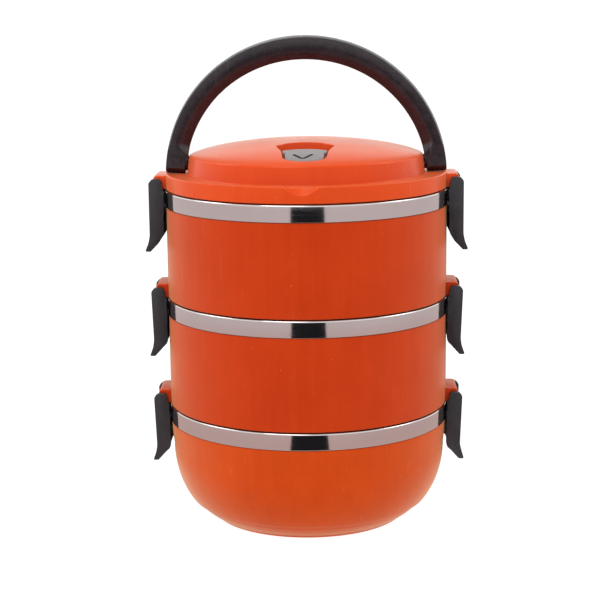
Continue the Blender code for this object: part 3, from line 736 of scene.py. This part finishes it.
def ray_points(loop, centre, count):
    """Where evenly turned rays from centre cross a closed loop that is star-shaped about it."""
    loop = np.array(loop) - np.array(centre)
    angles = np.unwrap(np.arctan2(loop[:, 1], loop[:, 0]))
    if angles[-1] < angles[0]:
        loop, angles = loop[::-1], angles[::-1]
    angles = np.append(angles, angles[0] + 2 * math.pi)
    loop = np.vstack([loop, loop[:1]])
    result = []
    for k in range(count):
        wanted = angles[0] + ((2 * math.pi * k / count - angles[0]) % (2 * math.pi))
        index = min(max(int(np.searchsorted(angles, wanted)) - 1, 0), len(angles) - 2)
        a, b = loop[index], loop[index + 1]
        ray = np.array([math.cos(wanted), math.sin(wanted)])
        edge = b - a
        cross = ray[0] * edge[1] - ray[1] * edge[0]
        reach = (a[0] * edge[1] - a[1] * edge[0]) / cross
        result.append((centre[0] + ray[0] * reach, centre[1] + ray[1] * reach))
    return result


def circle_points(radius, count):
    """Where the same rays cross a circle about the lid's axis."""
    result = []
    for k in range(count):
        angle = 2 * math.pi * k / count
        ray = Vector((math.cos(angle), math.sin(angle)))
        along = Vector(VENT_CENTRE).dot(ray)
        away = Vector(VENT_CENTRE).length_squared
        reach = -along + math.sqrt(along * along - away + radius * radius)
        result.append((VENT_CENTRE[0] + ray.x * reach, VENT_CENTRE[1] + ray.y * reach))
    return result


def lid_surface():
    """The lid: turned flange, ledge and disc side, and a dome whose rings close in on the vent."""
    count = LID_RAYS
    rim = TOP_RIM
    circle = circle_points(DOME_EDGE_R, count)
    outline = vent_outline(count)
    angles = [math.atan2(y, x) for x, y in circle]
    profile = rounded(
        [(0, rim + 5.6 * MM), (BORE_R, rim + 5.6 * MM), (BORE_R, rim + SEAT), (TIER_R, rim + SEAT),
         (TIER_R, rim + 8.6 * MM), (71.2 * MM, rim + 8.5 * MM), (70.5 * MM, rim + LEDGE_H),
         (DISC_R, rim + LEDGE_H), (60.1 * MM, dome(60.1 * MM)), (DOME_EDGE_R, dome(DOME_EDGE_R))],
        [0, 0, 0.3 * MM, 0.5 * MM, 0.6 * MM, 0.4 * MM, 0.5 * MM, 0.8 * MM, 1.7 * MM, 0],
        9,
    )
    vertices, faces, rings = [], [], []

    def add_ring(points):
        rings.append(list(range(len(vertices), len(vertices) + count)))
        vertices.extend(points)

    vertices.append((0, 0, profile[0][1]))
    rings.append([0] * count)
    for radius, height in profile[1:]:
        add_ring([(radius * math.cos(a), radius * math.sin(a), height) for a in angles])
    steps = 26
    for step in range(1, steps):
        share = step / steps
        ring = []
        for (ax, ay), (bx, by) in zip(circle, outline):
            x, y = ax + (bx - ax) * share, ay + (by - ay) * share
            ring.append((x, y, dome(math.hypot(x, y))))
        add_ring(ring)
    for turn in spread(0, 90, 7):
        inward = RECESS_LIP * math.sin(math.radians(turn))
        drop = RECESS_LIP * (1 - math.cos(math.radians(turn)))
        add_ring(recess_ring(outline, RECESS_LIP - inward, drop))
    for depth in (0.25, 0.5, 0.75, 0.93):
        add_ring(recess_wall(outline, depth))
    foot_outline = [sloped(x, y, 1.0) for x, y in outline]
    turns = [2 * math.pi * k / count for k in range(count)]
    hole = [(VENT_HOLE_R * math.cos(a), VENT_HOLE_Y + VENT_HOLE_R * math.sin(a)) for a in turns]
    for share in (0.04, 0.12, 0.3, 0.5, 0.7, 0.85, 0.94, 1.0):
        ring = []
        for (ax, ay), (bx, by) in zip(foot_outline, hole):
            x, y = ax + (bx - ax) * share, ay + (by - ay) * share
            ring.append((x, y, floor_height(y)))
        add_ring(ring)
    add_ring([(x, y, floor_height(y) - 2.5 * MM) for x, y in hole])
    for upper, lower in zip(rings[:-1], rings[1:]):
        faces += ring_faces(upper, lower)
    faces.append(rings[-1])
    return mesh_object("lid_moulding", vertices, faces, 40)


def recess_ring(outline, grow, drop):
    """One ring of the recess lip: the outline grown outward, laid on the dome and dropped."""
    ring = []
    for x, y in outline:
        offset = Vector((x - VENT_CENTRE[0], y - VENT_CENTRE[1]))
        moved = Vector(VENT_CENTRE) + offset + offset.normalized() * grow
        ring.append((moved.x, moved.y, dome(moved.length) - drop))
    return ring


def floor_height(y):
    """Floor of the vent recess, deeper in front of the flap's hinge."""
    deep = min(1.0, max(0.0, (-45.8 * MM - y) / (1.2 * MM)))
    deep = deep * deep * (3 - 2 * deep)
    return TOP_RIM + 13.5 * MM - 3.5 * MM * deep


def sloped(x, y, share):
    """The recess outline at a depth: its back wall leans in towards the front on the way down."""
    return x, y - 2.0 * MM * share * max(0.0, (y + 34 * MM) / (18 * MM))


def recess_wall(outline, share):
    """One ring of the recess wall, at a share of the way down from the lip to the floor."""
    ring = []
    for x, y in outline:
        top = dome(math.hypot(x, y)) - RECESS_LIP
        ring.append((*sloped(x, y, share), top + (floor_height(y) - top) * share))
    return ring


def make_lid():
    """The lid with its thumb scoop, handle sockets, the gate's pip in the recess and latch ears."""
    lid = lid_surface()
    radius = 17.5 * MM
    slope = math.radians(49)
    along = Vector((0, -math.cos(slope), -math.sin(slope)))
    away = Vector((0, -math.sin(slope), math.cos(slope)))
    middle = Vector((-1.4 * MM, -TIER_R, TOP_RIM + 4.4 * MM)) + away * radius
    scoop = rod("scoop", radius, middle - along * 8 * MM, middle + along * 6 * MM, 160)
    combine(lid, scoop, "DIFFERENCE")
    for _, sign in SIDES:
        ends = [(sign * 57 * MM, 0, HANDLE_PIVOT.z), (sign * 64 * MM, 0, HANDLE_PIVOT.z)]
        combine(lid, rod("socket", SOCKET_R, ends[0], ends[1]), "DIFFERENCE")
    gate = Vector((-30.0 * MM, -52.25 * MM, TOP_RIM + 10.7 * MM))
    pip = bmesh.new()
    bmesh.ops.create_uvsphere(pip, u_segments=20, v_segments=12, radius=0.65 * MM)
    bmesh.ops.translate(pip, vec=gate, verts=pip.verts)
    combine(lid, from_bmesh("pip", pip), "UNION")
    add_ears(lid, TOP_RIM)
    shade(lid, 35)
    finish_piece(lid, "lid", "orange_plastic", LID_ORANGE, "lid_cover")


def make_inner_plate():
    """Plate that closes the lid from below, with its plug, a bead and the vent chimney."""
    rim = TOP_RIM
    base = rim + SEAT
    top = rim + 2.4 * MM
    floor = base - SPIGOT_H
    bead = 1.1 * MM
    profile = rounded(
        [(GROOVE_R - 2.0 * MM, top), (69.8 * MM, top), (69.8 * MM, rim + GAP),
         (SPIGOT_R, rim + GAP)],
        [0, 0.4 * MM, 0.4 * MM, 0],
    )
    profile += spigot(base)[1:-1]
    profile += rounded(
        [(58 * MM, floor), (55 * MM, floor), (54 * MM, floor + bead), (22 * MM, floor + bead),
         (21 * MM, floor), (0, floor)], [0, 0.8 * MM, 0.8 * MM, 0.8 * MM, 0.8 * MM, 0]
    )[1:]
    inside = floor + 2 * MM
    profile += [(0, inside), (20 * MM, inside), (GROOVE_R - 2.4 * MM, inside)]
    plate = turned("lid_inner_moulding", profile, closed=True)
    low = floor - 2 * MM
    chimney_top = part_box("lid_inner_plate")[1].z
    chimney_foot = (0, VENT_HOLE_Y, floor + 1.5 * MM)
    chimney = rod("chimney", 4.7 * MM, chimney_foot, (0, VENT_HOLE_Y, chimney_top), 48)
    combine(plate, chimney, "UNION")
    bore_top = (0, VENT_HOLE_Y, chimney_top + MM)
    bore = rod("bore", VENT_HOLE_R, (0, VENT_HOLE_Y, low), bore_top, 48)
    combine(plate, bore, "DIFFERENCE")
    shade(plate)
    finish_piece(plate, "lid", "orange_plastic", LID_ORANGE, "lid_inner_plate")


def make_vent():
    """Grey flap shaped to the dome, notched beside its hinge, with a generic arrow groove; the
    groove and the hinge studs carry painted shade.
    """
    right = [(0, -32.8), (6.0, -33.3), (11.2, -35.2), (10.9, -39.0), (9.6, -40.0)]
    right += [(9.4, -49.6), (6.0, -53.0)]
    radii = [40, 30, 1.0, 0.5, 0.5, 2.0, 8]
    points = right + [(0, -54.3)] + [(-x, y) for x, y in right[:0:-1]]
    turns = radii + [30] + radii[:0:-1]
    loop = rounded_loop(points, turns, 8)
    centre = FLAP_CENTRE
    count = 160
    outline = ray_points([(x * MM, y * MM) for x, y in loop], centre, count)
    edge = 0.4 * MM
    thick = 1.9 * MM
    rings, vertices = [], []

    def add_ring(share, drop, inset=0.0):
        ring = []
        for x, y in outline:
            offset = Vector((x - centre[0], y - centre[1]))
            moved = Vector(centre) + offset * share - offset.normalized() * inset
            ring.append((moved.x, moved.y, dome(moved.length) - FLAP_DROP - drop))
        rings.append(list(range(len(vertices), len(vertices) + count)))
        vertices.extend(ring)

    vertices.append((centre[0], centre[1], dome(-centre[1]) - FLAP_DROP))
    rings.append([0] * count)
    for share in (0.15, 0.3, 0.45, 0.6, 0.75, 0.88):
        add_ring(share, 0.0)
    for turn in spread(0, 90, 5):
        angle = math.radians(turn)
        add_ring(1.0, edge * (1 - math.cos(angle)), edge * (1 - math.sin(angle)))
    add_ring(1.0, thick)
    for share in (0.8, 0.5, 0.2):
        add_ring(share, thick)
    faces = []
    for upper, lower in zip(rings[:-1], rings[1:]):
        faces += ring_faces(upper, lower)
    faces.append(rings[-1])
    flap = mesh_object("vent_flap_moulding", vertices, faces)
    flap.data.materials.append(VENT_GREY)
    # Second slot: painted shade, which the arrow's groove takes
    flap.data.materials.append(PAINTED_SHADE)
    reach = Vector((11.5 * MM, 0, 0))
    studs = rod("studs", 1.0 * MM, VENT_PIVOT - reach, VENT_PIVOT + reach)
    # The studs get painted shade, for the shadowed notches they sit in
    studs.data.materials.append(PAINTED_SHADE)
    combine(flap, studs, "UNION")
    combine(flap, arrow_cutter(), "DIFFERENCE")
    shade(flap, 35)
    finish_piece(flap, "vent", "grey_plastic", VENT_GREY, "vent_flap")


def make_stopper():
    """Silicone plug under the flap, a flange above the shank that closes the chimney."""
    low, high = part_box("vent_plug")
    middle = (low + high) / 2
    profile = rounded(
        [(0, high.z + 0.6 * MM), (3.8 * MM, high.z + 0.6 * MM), (3.8 * MM, high.z - 1.2 * MM),
         (3.0 * MM, high.z - 1.9 * MM), (3.0 * MM, low.z), (0, low.z)],
        [0, 0, 0.3 * MM, 0.3 * MM, 0.8 * MM, 0],
    )
    plug = turned("vent_stopper", profile, closed=False)
    plug.data.transform(Matrix.Translation((middle.x, middle.y, 0)))
    finish_piece(plug, "vent", "silicone", SILICONE, "vent_plug")


def arrow_cutter():
    """A shallow chevron that points to the front, sunk into the flap's domed top."""
    half = 0.8 * MM
    left, tip, right = (Vector(p) * MM for p in ((-5.5, -43.6), (-0.8, -51.6), (3.9, -43.6)))
    top = DOME_TOP
    vertices, faces = [], []
    bent = [Vector(point) for point in rounded([left, tip, right], [0, 2.2 * MM, 0], 10)]
    stations = [left.lerp(bent[1], k / 6) for k in range(6)] + bent[1:-1]
    stations += [bent[-2].lerp(right, k / 6) for k in range(1, 7)]
    for index, point in enumerate(stations):
        before = stations[max(index - 1, 0)]
        after = stations[min(index + 1, len(stations) - 1)]
        direction = (after - before).normalized()
        side = Vector((-direction.y, direction.x))
        foot = dome(point.length) - FLAP_DROP - ARROW_DEPTH
        for sign, z in ((1, foot), (1, top), (-1, top), (-1, foot)):
            moved = point + side * half * sign
            vertices.append((moved.x, moved.y, z))
    for index in range(len(stations) - 1):
        near = index * 4
        for corner in range(4):
            following = (corner + 1) % 4
            faces.append([near + corner, near + following, near + 4 + following, near + 4 + corner])
    last = 4 * (len(stations) - 1)
    faces += [[0, 1, 2, 3], [last + 3, last + 2, last + 1, last]]
    cutter = mesh_object("arrow", vertices, faces)
    # The cutter gives the groove's faces painted shade
    cutter.data.materials.append(PAINTED_SHADE)
    return cutter


# ---------------------------------------------------------------- handle


# Crown of the handle's section: shares of the half width, with two fine grooves along each side
CROWN_STATIONS = (
    (0.0, 0), (0.2, 0), (0.4, 0), (0.54, 0), (0.57, 0), (0.585, 1), (0.635, 1), (0.65, 0),
    (0.72, 0), (0.79, 0), (0.805, 1), (0.855, 1), (0.87, 0), (0.93, 0),
)


def handle_section(angle, arch):
    """The handle's section at an angle round the arch: crowned outside, bevelled inside."""
    power = 2 / 2.015
    cosine, sine = math.cos(angle), math.sin(angle)
    x = arch["across"] * math.copysign(abs(cosine) ** power, cosine)
    z = arch["height"] * sine**power
    normal = Vector((x / arch["across"] ** 2, 0, z / arch["height"] ** 2)).normalized()
    point = Vector((x, 0, arch["centre"] + z))
    thick = (10.2 + 2.0 * sine) * MM
    level = point.z - HANDLE_PIVOT.z
    point.x -= HANDLE_SWAY * max(0.0, level)
    half = (HANDLE_END_HALF_MM + 2.0 * min(1.0, 2.0 * max(0.0, sine - 0.15))) * MM
    if level < 0:
        rest = HANDLE_END_R * HANDLE_END_R - level * level
        half = min(half, math.sqrt(max(rest, (1.6 * MM) ** 2)))
    foot = max(0.0, 1.0 - (level + HANDLE_END_R) / (1.2 * MM))
    shave = 1.0 * MM * (1 - math.sqrt(max(0.0, 1 - foot * foot)))
    grow = min(1.0, max(0.0, (level - 5.0 * MM) / (5.5 * MM)))
    grow = grow * grow * (3 - 2 * grow)
    crown = 0.9 * MM * (0.4 + 0.6 * grow)
    inner_cut = 4.5 * MM * (0.12 + 0.88 * grow)
    slim_in = half * (1 - 0.5 * (0.08 + 0.92 * grow))
    groove = 0.2 * MM * grow
    outer = [(shave + crown * t * t + groove * deep, t * half) for t, deep in CROWN_STATIONS]
    edge = min(crown + shave, thick / 2)
    inside = thick - 0.2 * shave
    corners = [outer[-1], (edge, half), (thick - inner_cut, half), (inside, slim_in), (inside, 0)]
    bend = (0.4 + 9.0 * grow) * MM
    flank = rounded(corners, [0, 0.4 * MM, bend, (0.4 + 1.2 * grow) * MM, 0], 5)[1:]
    side = outer + flank
    loop = list(side)
    loop += [(depth, -across) for depth, across in side[-2:0:-1]]
    return [point - normal * depth + Vector((0, across, 0)) for depth, across in loop]


def ring_mark(x, z):
    """A thin ring that marks the front face of a handle end, where an ejector pin stood."""
    proud, sunk = 0.6 * MM, -0.5 * MM
    profile = [(MARK_R, proud), (MARK_R, sunk), (MARK_IN_R, sunk), (MARK_IN_R, proud)]
    ring = turned("mark", profile, closed=True, angles=[2 * math.pi * k / 48 for k in range(48)])
    face = -HANDLE_END_HALF_MM * MM
    ring.data.transform(Matrix.Translation((x, face, z)) @ Matrix.Rotation(math.pi / 2, 4, "X"))
    return ring


def make_handle():
    """Arched handle swept along its section, with pivot studs, dark round discs that paint the
    shade in the gap by the lid's disc, and ejector marks.
    """
    arch = {"across": 72.6 * MM, "centre": TOP_RIM + 5.7 * MM}
    arch["height"] = HANDLE_TOP - 0.1 * MM - arch["centre"]
    foot = HANDLE_PIVOT.z - HANDLE_END_R
    rises = (0, 0.15, 0.4, 0.8, 1.3, 2.0, 3.0, 4.2, 5.5, 7.0, 8.5, 10.0, 11.5, 13.0, 14.5, 16.0)
    level_steps = [math.asin((foot + z * MM - arch["centre"]) / arch["height"]) for z in rises]
    last = level_steps[-1]
    middle = [last + (math.pi - 2 * last) * k / 120 for k in range(1, 120)]
    angles = level_steps + middle + [math.pi - a for a in level_steps[::-1]]
    vertices, faces, rings = [], [], []
    for angle in angles:
        section = handle_section(angle, arch)
        rings.append(list(range(len(vertices), len(vertices) + len(section))))
        vertices += section
    for near, far in zip(rings[:-1], rings[1:]):
        faces += ring_faces(near, far)
    faces += [rings[0], rings[-1][::-1]]
    handle = mesh_object("carry_handle", vertices, faces, 24)
    for _, sign in SIDES:
        ends = [(sign * 58.0 * MM, 0, HANDLE_PIVOT.z), (sign * 63 * MM, 0, HANDLE_PIVOT.z)]
        stud = rod("stud", STUD_R, ends[0], ends[1])
        combine(handle, stud, "UNION")
        # A dark disc on the end's inner side: painted shade for the gap between the handle and the
        # lid's disc
        near, far = sign * SHADE_DISC_FROM, sign * SHADE_DISC_TO
        shade_disc = rod("shade_disc", SHADE_DISC_R, (near, 0, HANDLE_PIVOT.z), (far, 0, HANDLE_PIVOT.z), 64)
        combine(handle, shade_disc, "UNION")
        combine(handle, ring_mark(sign * MARK_X, HANDLE_PIVOT.z + MARK_RISE), "DIFFERENCE")
    shade(handle, 24)
    finish_piece(handle, "handle_bail", "charcoal_plastic", HANDLE_BLACK, "handle")


# ---------------------------------------------------------------- latches


def latch_blank(tip_up):
    """One latch about its hinge: two cheeks, an outer plate, and the rib with the hooking nose."""
    out, up = 4.9, 3.0
    outline = [
        (0.4, -2.0), (1.2, 4.6), (2.2, 6.1), (6.2, 6.1), (7.9, 4.2), (7.9, tip_up - 22.8),
        (8.6, tip_up - 26.4), (10.2, tip_up - 30.4), (9.9, tip_up - 31.0), (7.6, tip_up - 31.0),
        (3.3, tip_up - 26.6), (1.1, -23.2), (0.7, -21.0), (0.7, -13.0), (0.4, -12.0),
    ]
    radii = [3, 2, 1.2, 1.8, 2.2, 12, 12, 0.5, 0.4, 0.6, 14, 2.5, 1.5, 1, 1]
    local = [((x - out) * MM, (z - up) * MM) for x, z in outline]
    loop = rounded_loop(local, [r * MM for r in radii], 6)
    blank = extruded("latch", loop, LATCH_HALF)
    width = 11.5 * MM
    plate_in = (5.9 - out) * MM
    rib_top, rib_foot = (-8.9 - up) * MM, (-12.3 - up) * MM
    cuts = [
        ((-12 * MM, -width, rib_top), (plate_in, width, 20 * MM)),
        ((-12 * MM, -width, (-2.4 - up) * MM), (12 * MM, width, 20 * MM)),
        ((-12 * MM, -width, (-24.0 - up) * MM), (plate_in, width, rib_foot)),
    ]
    for low, high in cuts:
        combine(blank, box("channel", low, high), "DIFFERENCE")
    nose_low = ((-0.6 - out) * MM, -6 * MM, rib_foot)
    nose = box("nose", nose_low, ((1.5 - out) * MM, 6 * MM, rib_top - 0.3 * MM))
    combine(blank, nose, "UNION")
    add_bevel(blank, 0.35 * MM, 3, 35)
    bake(blank)
    socket = rod("socket", PIN_BORE_R, (0, -PIN_REACH, 0), (0, PIN_REACH, 0), 24)
    combine(blank, socket, "DIFFERENCE")
    return blank


def make_latches():
    """Six latches: each row's blank copied to both sides, on steel pins."""
    for row in ROWS:
        blank = latch_blank(LATCH_TIPS_UP[row])
        for (side, sign), lean_deg in zip(SIDES, LATCH_LEANS_DEG[row]):
            node = f"latch_{row}_{side}"
            joint = JOINTS[node + "_open"]
            latch = placed(node + "_moulding", blank.data.copy())
            turn = Matrix.Rotation(math.pi if sign < 0 else 0.0, 4, "Z")
            lean = Matrix.Rotation(math.radians(lean_deg), 4, "Y")
            latch.data.transform(Matrix.Translation(joint["pos_m"]) @ turn @ lean)
            shade(latch, 30)
            finish_piece(latch, joint["child"], "charcoal_plastic", CHARCOAL, node)
            pin = frame["nodes"][f"latch_pin_{row}_{side}"]
            pin.data.materials.clear()
            pin.data.materials.append(POLISHED)
        bpy.data.objects.remove(blank, do_unlink=True)


# ---------------------------------------------------------------- stage


def glow_material(name, colour, strength):
    """A black surface that shines in one colour."""
    s = Shader(name)
    s.set(Base_Color=(0, 0, 0, 1), Roughness=1.0)
    s.surface.inputs["Specular IOR Level"].default_value = 0.0
    s.surface.inputs["Emission Color"].default_value = colour
    s.surface.inputs["Emission Strength"].default_value = strength
    return s


def glossy_only(obj):
    """Hides an object from everything but reflections."""
    for name in ("camera", "diffuse", "transmission", "shadow", "volume_scatter"):
        setattr(obj, "visible_" + name, False)


def ring_card(name, inner, outer, height, start, end, steps, material):
    """A flat sector on the floor between two radii, from one azimuth to another."""
    vertices, faces = [], []
    for k in range(steps + 1):
        angle = math.radians(start + (end - start) * k / steps)
        for radius in (inner, outer):
            vertices.append((radius * math.sin(angle), -radius * math.cos(angle), height))
    for k in range(steps):
        faces.append([2 * k, 2 * k + 1, 2 * k + 3, 2 * k + 2])
    mesh = bpy.data.meshes.new(name)
    mesh.from_pydata(vertices, [], faces)
    mesh.materials.append(material)
    card = placed(name, mesh)
    glossy_only(card)
    return card


def make_stage():
    """White floor, and low cards that only reflections show: a grey sweep and strips."""
    side = FLOOR_HALF
    floor = box("stage_floor", (-side, -side, -0.02), (side, side, 0.0))
    white_floor = glow_material("white_floor", (1, 1, 1, 1), 0.95)
    white_floor.set(Base_Color=(0.15, 0.15, 0.15, 1), Roughness=0.95)
    floor.data.materials.append(white_floor.material)
    sweep = glow_material("grey_sweep", (1, 1, 1, 1), 1.0)
    length = sweep.nodes.new("ShaderNodeVectorMath")
    length.operation = "LENGTH"
    sweep.link(sweep.place, length.inputs[0])
    far = sweep.span(length.outputs["Value"], 0.24, 0.75)
    tone = sweep.mix(far, (0.68, 0.50, 0.47, 1), (0.74, 0.645, 0.64, 1))
    sweep.link(tone, sweep.surface.inputs["Emission Color"])
    dark = glow_material("dark_card", (0.012, 0.012, 0.014, 1), 1.0)
    cards = [ring_card("stage_sweep", 0.12, CARD_REACH, 0.001, 0, 360, 96, sweep.material)]
    for index, (azimuth, half) in enumerate(((1.6, 13.0), (180, 10))):
        name, start, end = f"stage_strip_{index}", azimuth - half, azimuth + half
        cards.append(ring_card(name, 0.16, CARD_REACH, 0.002, start, end, 8, dark.material))
    white = glow_material("white_card", (1.3, 1.3, 1.3, 1), 1.0)
    for index, azimuth in enumerate((-144, 141)):
        name, start, end = f"stage_white_{index}", azimuth - 3, azimuth + 3
        cards.append(ring_card(name, 0.16, CARD_REACH, 0.003, start, end, 4, white.material))


def make_light():
    """White surroundings, brighter low down than overhead, with a key and two side lamps."""
    world = bpy.data.worlds.new("studio")
    bpy.context.scene.world = world
    world.use_nodes = True
    nodes, links = world.node_tree.nodes, world.node_tree.links
    background = nodes["Background"]
    background.inputs["Color"].default_value = (1.0, 1.0, 1.0, 1)
    split = nodes.new("ShaderNodeSeparateXYZ")
    links.new(nodes.new("ShaderNodeTexCoord").outputs["Generated"], split.inputs[0])
    span = nodes.new("ShaderNodeMapRange")
    for name, value in (("From Min", 0.15), ("From Max", 0.8), ("To Min", 1.3), ("To Max", 0.85)):
        span.inputs[name].default_value = value
    links.new(split.outputs["Z"], span.inputs["Value"])
    links.new(span.outputs["Result"], background.inputs["Strength"])
    for name, place_at, size, power in LAMPS:
        light = bpy.data.lights.new(name, "AREA")
        light.shape = "RECTANGLE"
        light.size, light.size_y = size
        light.energy = power
        lamp = placed(name, light)
        lamp.location = place_at
        aim = LAMP_AIM - lamp.location
        lamp.rotation_euler = aim.to_track_quat("-Z", "Y").to_euler()


def make_camera():
    """Camera before the object, a little above it and slightly rolled."""
    data = bpy.data.cameras.new("camera")
    data.sensor_width = 36.0
    data.lens = LENS_MM
    camera = placed("camera", data)
    pitch, roll = math.radians(CAMERA_PITCH_DEG), math.radians(CAMERA_ROLL_DEG)
    turn = Matrix.Rotation(math.radians(CAMERA_TURN_DEG), 4, "Z")
    place = turn @ Matrix.Translation(CAMERA_PLACE)
    tilt = Matrix.Rotation(math.pi / 2 - pitch, 4, "X") @ Matrix.Rotation(roll, 4, "Z")
    camera.matrix_world = place @ tilt
    bpy.context.scene.camera = camera


bottom_shell()
upper_shell("middle")
upper_shell("top")
steel_bowls()
seal_ring("middle", "middle_tier")
seal_ring("top", "top_tier")
seal_ring("lid", "lid")
make_lid()
make_inner_plate()
make_vent()
make_stopper()
make_handle()
make_latches()
make_stage()
make_light()
make_camera()
bpy.context.scene.view_settings.view_transform = "Standard"
